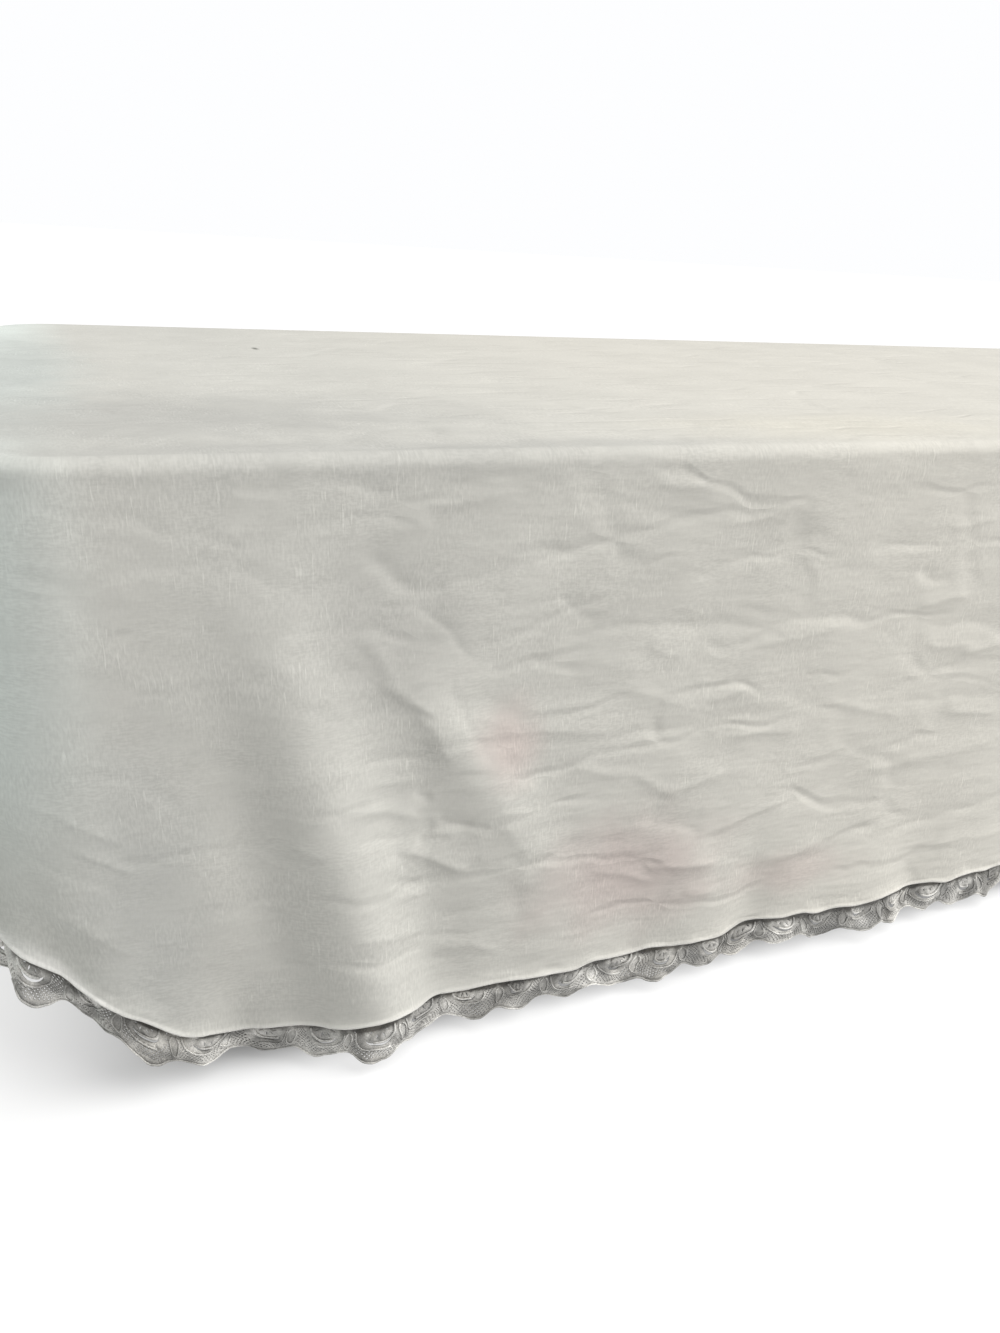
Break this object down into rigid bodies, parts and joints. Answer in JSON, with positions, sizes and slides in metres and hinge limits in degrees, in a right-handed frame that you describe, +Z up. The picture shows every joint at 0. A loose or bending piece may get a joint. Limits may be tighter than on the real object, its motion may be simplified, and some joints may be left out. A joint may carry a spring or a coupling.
{
  "type": "bedspread on a bed",
  "caption": "Off-white woven bedspread with a rolled hem and a scalloped lace edge, draped to near the floor over a plain single bed.",
  "frame": {"origin": "on the floor under the middle of the bed", "axes": "+X along the bed from foot to head, +Y from the front side to the back side, +Z up"},
  "size_m": [1.9974, 1.0088, 0.48],
  "materials": {
    "bedspread_cloth": "matte off-white plain weave with fine slubs",
    "lace": "matte grey-taupe lace",
    "mattress_cover": "matte plain ticking",
    "base_cover": "matte plain cover",
    "plinth_wood": "plain matte wood"
  },
  "bodies": {
    "root": {"bedspread": "bedspread_cloth", "lace_front": "lace", "lace_head": "lace", "lace_back": "lace", "lace_foot": "lace", "mattress": "mattress_cover", "bed_base": "base_cover", "bed_plinth": "plinth_wood"}
  },
  "joints": []
}
